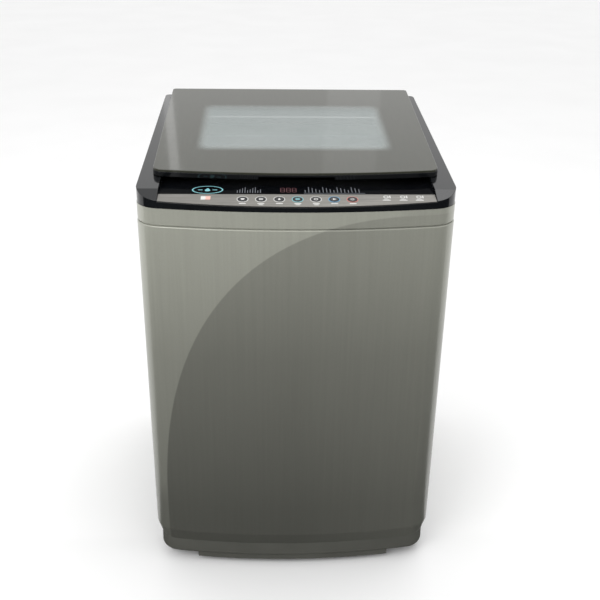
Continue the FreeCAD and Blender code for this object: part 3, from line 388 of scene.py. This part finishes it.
FINISH = {
    "cabinet_shell": "paint", "rear_panel": "zinc", "base_frame": "base", "top_frame": "paint",
    "console_frame": "black", "button_strip": "strip", "display_window": "display",
    "control_board": "board", "button_mat": "silicone", "inlet_valve": "white_plastic",
    "dispenser_housing": "shaded_hood_plastic", "detergent_drawer": "shaded_hood_plastic",
    "drain_outlet": "dark_plastic", "drain_valve": "dark_plastic", "cord_gland": "dark_plastic",
    "lid_frame": "black", "lid_glass": "glass", "outer_tub": "tub", "tub_cover": "tub",
    "clutch_housing": "cast", "shaft_seal": "rubber", "drive_belt": "rubber",
    "support_plate": "motor", "motor": "motor", "basket_base": "white_plastic",
    "balance_ring": "grey_plastic", "spin_shaft": "ground", "wash_shaft": "ground",
    "lint_filter": "blue_plastic", "pulsator_screw": "ground", "clutch_pulley": "cast",
    "motor_pulley": "cast", "bearing_lower": "ground", "bearing_upper": "ground",
    "pulsator": "grey_plastic", "basket_shell": "steel",
}
FAMILIES = (("button_", "button"), ("lid_bumper", "rubber"), ("rear_foot", "rubber"),
            ("levelling_foot", "rubber"), ("suspension_rod", "zinc"),
            ("suspension_spring", "spring"), ("hinge_pin", "ground"))


def finish_for(node):
    if node in FINISH:
        return FINISH[node]
    return next(finish for start, finish in FAMILIES if node.startswith(start))


def dress_nodes():
    for node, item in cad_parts.items():
        material = MATERIALS[finish_for(node)]
        if not item.material_slots:
            item.data.materials.append(material)
        for entry in item.material_slots:
            entry.material = material


# ---------------------------------------------------------------- mesh helpers


def new_piece(name, mesh, body, material):
    piece = bpy.data.objects.new(name, mesh)
    bpy.context.collection.objects.link(piece)
    mesh.materials.append(MATERIALS[material])
    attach(piece, body)
    return piece


def mesh_from(name, verts, faces, smooth=True):
    mesh = bpy.data.meshes.new(name)
    mesh.from_pydata(verts, [], faces)
    mesh.update()
    if smooth:
        mesh.polygons.foreach_set("use_smooth", [True] * len(mesh.polygons))
    return mesh


def merged(name, parts, smooth=False):
    """One mesh out of several (verts, faces) pairs."""
    verts = []
    faces = []
    for part_verts, part_faces in parts:
        start = len(verts)
        verts += [tuple(v) for v in part_verts]
        faces += [tuple(i + start for i in face) for face in part_faces]
    return mesh_from(name, verts, faces, smooth)


# ---------------------------------------------------------------- basket wall


def perforated_wall():
    """The basket's wall: rows of round holes between dimples pressed inwards."""
    low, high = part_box("basket_shell")
    radius = high.x - 0.0009
    columns = 72
    rows = 34
    margin = 0.012
    z0 = low.z + margin
    step = (high.z - low.z - 2 * margin) / rows
    ring = 8
    hole = 0.0022
    dimple = 0.0016
    sink = 0.0008
    verts = []
    faces = []

    def point(angle, z, out=0.0):
        verts.append(((radius + out) * math.cos(angle), (radius + out) * math.sin(angle), z))
        return len(verts) - 1

    pitch = 2 * math.pi / columns

    def corner_out(i, j):
        return -dimple if (i // 2 + j // 2) % 2 else 0.0

    corners = [[point(i * pitch, z0 + j * step, corner_out(i, j)) for i in range(columns)]
               for j in range(rows + 1)]
    edge_low = [point(i * pitch, low.z) for i in range(columns)]
    edge_high = [point(i * pitch, high.z) for i in range(columns)]
    for i in range(columns):
        k = (i + 1) % columns
        faces.append((edge_low[i], edge_low[k], corners[0][k], corners[0][i]))
        faces.append((corners[rows][i], corners[rows][k], edge_high[k], edge_high[i]))
        for j in range(rows):
            centre = ((i + 0.5) * pitch, z0 + (j + 0.5) * step)
            loop = []
            for n in range(ring):
                turn = math.pi / 4 + 2 * math.pi * n / ring
                loop.append(point(centre[0] + hole / radius * math.cos(turn),
                                  centre[1] + hole * math.sin(turn), -sink))
            box = (corners[j + 1][k], corners[j + 1][i], corners[j][i], corners[j][k])
            for n in range(4):
                a = 2 * n
                faces.append((box[n], box[(n + 1) % 4], loop[(a + 2) % ring], loop[a + 1]))
                faces.append((box[n], loop[a + 1], loop[a]))
    mesh = mesh_from("basket_wall", verts, faces)
    wall = new_piece("basket_wall", mesh, "basket", "steel")
    solid = wall.modifiers.new("thickness", "SOLIDIFY")
    solid.thickness = 0.0007
    solid.offset = 0
    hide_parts("basket_shell")


# ---------------------------------------------------------------- pulsator


def sculpted_pulsator():
    """A dished disc with a raised hub, three swept vanes and small ribs between them."""
    low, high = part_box("pulsator")
    bore = 0.0086
    reach = high.x - 0.0005
    base = low.z + 0.003
    rings = 56
    spokes = 144
    vanes = 3
    ribs = 9
    hub_tall = 0.026
    hub_wide = 0.052
    vane_tall = 0.015

    def height(radius, angle):
        share = radius / reach
        dish = 0.010 + 0.006 * share ** 3
        hub = hub_tall * (0.5 + 0.5 * math.cos(math.pi * min(radius / hub_wide, 1)))
        twist = angle - 2.2 * share
        lobe = max(0.0, math.cos(vanes * twist)) ** 6
        swell = math.sin(math.pi * min(max((share - 0.16) / 0.8, 0), 1))
        small = max(0.0, math.cos(ribs * twist + 1.6)) ** 8 * 0.18
        edge = 0.005 * max(0.0, (share - 0.93) / 0.07) ** 2
        return base + dish + hub + (lobe + small) * swell * vane_tall - edge

    verts = []
    faces = []
    for r in range(rings + 1):
        radius = bore + (reach - bore) * r / rings
        for s in range(spokes):
            angle = 2 * math.pi * s / spokes
            verts.append((radius * math.cos(angle), radius * math.sin(angle),
                          height(radius, angle)))
    for radius in (reach, reach - 0.004, bore):
        z = base + (0.002 if radius == reach else 0.0)
        for s in range(spokes):
            angle = 2 * math.pi * s / spokes
            verts.append((radius * math.cos(angle), radius * math.sin(angle), z))
    loops = rings + 4
    for r in range(loops):
        a = r * spokes
        b = ((r + 1) % loops) * spokes
        for s in range(spokes):
            t = (s + 1) % spokes
            faces.append((a + s, b + s, b + t, a + t))
    mesh = mesh_from("pulsator_disc", verts, faces)
    disc = new_piece("pulsator_disc", mesh, "agitator", "grey_plastic")
    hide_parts("pulsator")


# ---------------------------------------------------------------- suspension springs


def suspension_springs():
    """Wire coils on their rod, each wound within its suspension spring's box."""
    wire = 0.002
    pitch = 0.009
    sides = 10
    per_turn = 28
    for place in ("front_left", "front_right", "rear_left", "rear_right"):
        low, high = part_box("suspension_spring_" + place)
        centre = (low + high) / 2
        radius = (high.x - low.x) / 2 - wire
        tall = high.z - low.z - 2 * wire
        stops = round(tall / pitch * per_turn)
        verts = []
        faces = []
        for i in range(stops + 1):
            share = i / stops
            angle = 2 * math.pi * tall / pitch * share
            for k in range(sides):
                turn = 2 * math.pi * k / sides
                out = radius + wire * math.cos(turn)
                verts.append((centre.x + out * math.cos(angle), centre.y + out * math.sin(angle),
                              low.z + wire * (1 + math.sin(turn)) + tall * share))
        for i in range(stops):
            a = i * sides
            for k in range(sides):
                m = (k + 1) % sides
                faces.append((a + k, a + sides + k, a + sides + m, a + m))
        faces.append(tuple(range(sides)))
        faces.append(tuple(reversed(range(stops * sides, (stops + 1) * sides))))
        coil = new_piece("spring_coil_" + place, mesh_from("spring_coil_" + place, verts, faces),
                         "cabinet", "spring")
        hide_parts("suspension_spring_" + place)
        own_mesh(coil)


# ---------------------------------------------------------------- console marks

STRIP_PLANE = (-0.297, 0.810, math.atan2(0.008, 0.045))
WINDOW_PLANE = (-0.252, 0.818, math.atan2(0.004, 0.102))
STRIP_TOP = 0.0012
WINDOW_TOP = 0.0010
BUTTON_TOP = 0.0018
ROW = 0.027
PITCH = 0.0324


def lay(plane, point):
    """Place (x, along, above) on a sloping face given by its front edge and its slope."""
    y, z, slope = plane
    x, along, above = point
    c = math.cos(slope)
    s = math.sin(slope)
    return (x, y + along * c - above * s, z + along * s + above * c)


def flat_shape(points, above, thick=0.00025):
    """A thin closed plate from 2-D points (x, along)."""
    count = len(points)
    verts = [(x, along, above) for x, along in points]
    verts += [(x, along, above + thick) for x, along in points]
    faces = [tuple(range(count - 1, -1, -1)), tuple(range(count, 2 * count))]
    faces += [(i, (i + 1) % count, count + (i + 1) % count, count + i) for i in range(count)]
    return verts, faces


def bar_shape(x0, x1, v0, v1, above):
    return flat_shape([(x0, v0), (x1, v0), (x1, v1), (x0, v1)], above)


def ring_shape(x, along, inner, outer, above, tall=0.0004, squeeze=1.0, count=48, start=0.0,
               sweep=2 * math.pi):
    """A raised ring, or an arc of one, with a rounded top."""
    section = [(outer, 0), (outer, tall * 0.6), ((inner + outer) / 2, tall), (inner, tall * 0.6),
               (inner, 0)]
    verts = []
    faces = []
    closed = sweep > 6.28
    stops = count if closed else count + 1
    for i in range(stops):
        angle = start + sweep * i / count
        for radius, up in section:
            verts.append((x + radius * math.cos(angle), along + radius * squeeze * math.sin(angle),
                          above + up))
    n = len(section)
    for i in range(count):
        a = i * n
        b = ((i + 1) % stops) * n
        for k in range(n):
            m = (k + 1) % n
            faces.append((a + k, b + k, b + m, a + m))
    if not closed:
        faces.append(tuple(range(n)))
        faces.append(tuple(reversed(range((stops - 1) * n, stops * n))))
    return verts, faces


def disc_shape(x, along, radius, above, squeeze=1.0, count=32):
    points = [(x + radius * math.cos(2 * math.pi * i / count),
               along + radius * squeeze * math.sin(2 * math.pi * i / count))
              for i in range(count)]
    return flat_shape(points, above)


def marks(name, parts, material, plane=STRIP_PLANE, body="cabinet"):
    placed = [([lay(plane, point) for point in verts], faces) for verts, faces in parts]
    return new_piece(name, merged(name, placed), body, material)


def icon_parts(kind, x, along, above):
    """Generic button symbols: start, drop, waves, clock, basin, power."""
    size = 0.0036
    if kind == "start":
        return [flat_shape([(x - size * 0.6, along - size * 0.8), (x + size, along),
                            (x - size * 0.6, along + size * 0.8)], above)]
    if kind == "drop":
        return [disc_shape(x, along - size * 0.3, size * 0.6, above),
                flat_shape([(x - size * 0.5, along), (x + size * 0.5, along),
                            (x, along + size)], above)]
    if kind == "waves":
        return [bar_shape(x - size, x + size, along + size * k, along + size * (k + 0.3), above)
                for k in (-0.8, -0.15, 0.5)]
    if kind == "clock":
        return [ring_shape(x, along, size * 0.7, size, above, 0.0002, count=24),
                bar_shape(x - 0.0003, x + 0.0003, along, along + size * 0.6, above)]
    if kind == "basin":
        return [flat_shape([(x - size, along + size * 0.6), (x - size * 0.6, along - size * 0.7),
                            (x + size * 0.6, along - size * 0.7),
                            (x + size, along + size * 0.6)], above)]
    return [ring_shape(x, along, size * 0.65, size * 0.9, above, 0.0002, count=24,
                       start=math.radians(120), sweep=math.radians(300)),
            bar_shape(x - 0.0003, x + 0.0003, along, along + size, above)]


BUTTONS = (("basin", "white_print_glow", "white_print_glow"), ("waves", "white_print_glow", "white_print_glow"),
           ("drop", "white_print_glow", "white_print_glow"), ("waves", "teal_print_glow", "teal_print_glow"),
           ("clock", "white_print_glow", "white_print_glow"), ("start", "white_print_glow", "blue_print_glow"),
           ("power", "white_print_glow", "red_print_glow"))


def buttons():
    for i, (kind, icon, ring) in enumerate(BUTTONS):
        x = (i - 3) * PITCH
        marks(f"button_icon_{i + 1}", icon_parts(kind, x, ROW, BUTTON_TOP), icon,
              body=f"button_body_{i + 1}")
        rings = [ring_shape(x, ROW, 0.0090, 0.0103, STRIP_TOP)]
        marks(f"button_ring_{i + 1}", rings, ring)
        marks(f"button_bezel_{i + 1}", [ring_shape(x, ROW, 0.0078, 0.0090, STRIP_TOP, 0.0007)],
              "black")
        labels = [bar_shape(x - 0.0060, x + 0.0060, 0.0105, 0.0130, STRIP_TOP)]
        if i in (1, 3, 4):
            labels.append(bar_shape(x - 0.0040, x + 0.0040, 0.0064, 0.0084, STRIP_TOP))
        marks(f"button_label_{i + 1}", labels, "white_print_glow")


def strip_icons():
    """Three small pictograms at the right, and a two-tone patch at the left."""
    parts = []
    for x in (0.158, 0.188, 0.217):
        parts += [ring_shape(x, 0.0365, 0.0032, 0.0048, STRIP_TOP, 0.0002, count=24),
                  bar_shape(x - 0.0070, x + 0.0070, 0.0235, 0.0256, STRIP_TOP),
                  bar_shape(x - 0.0045, x + 0.0045, 0.0276, 0.0290, STRIP_TOP),
                  bar_shape(x + 0.0060, x + 0.0080, 0.0320, 0.0410, STRIP_TOP)]
    marks("strip_icons", parts, "white_print_glow")
    marks("patch_left", [bar_shape(-0.171, -0.1625, 0.0255, 0.0375, STRIP_TOP)], "white_print_glow")
    marks("patch_right", [bar_shape(-0.1625, -0.154, 0.0255, 0.0375, STRIP_TOP)], "pink_print_glow")


def tick_row(left, right, count, start, shuffle):
    """Uneven upright ticks between two places, like the marks of a printed scale."""
    step = (right - left) / count
    ticks = []
    for k in range(count):
        x = left + k * step
        tall = 0.012 + 0.005 * ((k * shuffle) % 4)
        ticks.append(bar_shape(x, x + 0.0013, start, start + tall, WINDOW_TOP))
    return ticks


def window_marks():
    """Badge outline, programme scales and a three-digit display on the black window."""
    badge = [ring_shape(-0.161, 0.0215, 0.0258, 0.0280, WINDOW_TOP, 0.0003, squeeze=0.68, count=72),
             disc_shape(-0.161, 0.0190, 0.0048, WINDOW_TOP, count=28),
             flat_shape([(-0.1652, 0.0212), (-0.1568, 0.0212), (-0.161, 0.0300)], WINDOW_TOP)]
    for x in (-0.178, -0.152):
        badge.append(bar_shape(x, x + 0.008, 0.0200, 0.0222, WINDOW_TOP))
    marks("badge", badge, "teal_print_glow", WINDOW_PLANE)
    scale = tick_row(-0.108, -0.062, 10, 0.007, 5) + tick_row(0.014, 0.118, 16, 0.009, 7)
    scale.append(bar_shape(0.012, 0.122, 0.0045, 0.0057, WINDOW_TOP))
    marks("programme_scale", scale, "grey_print_glow", WINDOW_PLANE)
    segments = []
    wide = 0.0040
    tall = 0.0100
    thick = 0.0012
    low = 0.010
    for x in (-0.026, -0.0155, -0.005):
        for k in range(3):
            up = low + k * tall
            segments.append(bar_shape(x - wide + thick, x + wide - thick, up, up + thick, WINDOW_TOP))
        for side in (-wide, wide - thick):
            for k in range(2):
                up = low + k * tall + thick * 1.2
                segments.append(bar_shape(x + side, x + side + thick, up, up + tall - thick * 1.4,
                                          WINDOW_TOP))
    marks("display_digits", segments, "digit", WINDOW_PLANE)


# ---------------------------------------------------------------- screws


def screw_parts(x, z, face):
    """A pan-head screw pointing to the rear, with a shallow round recess."""
    count = 20
    profile = ((0.0046, 0.0), (0.0046, 0.0008), (0.0038, 0.0018), (0.0022, 0.0023))
    verts = []
    faces = []
    for radius, out in profile:
        for i in range(count):
            angle = 2 * math.pi * i / count
            verts.append((x + radius * math.cos(angle), face + out, z + radius * math.sin(angle)))
    for k in range(len(profile) - 1):
        for i in range(count):
            j = (i + 1) % count
            a = k * count
            faces.append((a + i, a + count + i, a + count + j, a + j))
    last = (len(profile) - 1) * count
    verts.append((x, face + 0.0012, z))
    centre = len(verts) - 1
    for i in range(count):
        faces.append((last + i, centre, last + (i + 1) % count))
    faces.append(tuple(range(count)))
    return verts, faces


def rear_screws():
    screw_side = 0.268
    panel_inset = 0.0024
    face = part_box("cabinet_shell")[1].y - panel_inset
    parts = [screw_parts(x, z, face) for z in (0.082, 0.24, 0.40, 0.56, 0.735)
             for x in (-screw_side, screw_side)]
    mesh = merged("rear_screws", parts, True)
    new_piece("rear_screws", mesh, "cabinet", "ground")


place_camera()
studio()
floor()
dress_nodes()
perforated_wall()
sculpted_pulsator()
suspension_springs()
buttons()
strip_icons()
window_marks()
rear_screws()
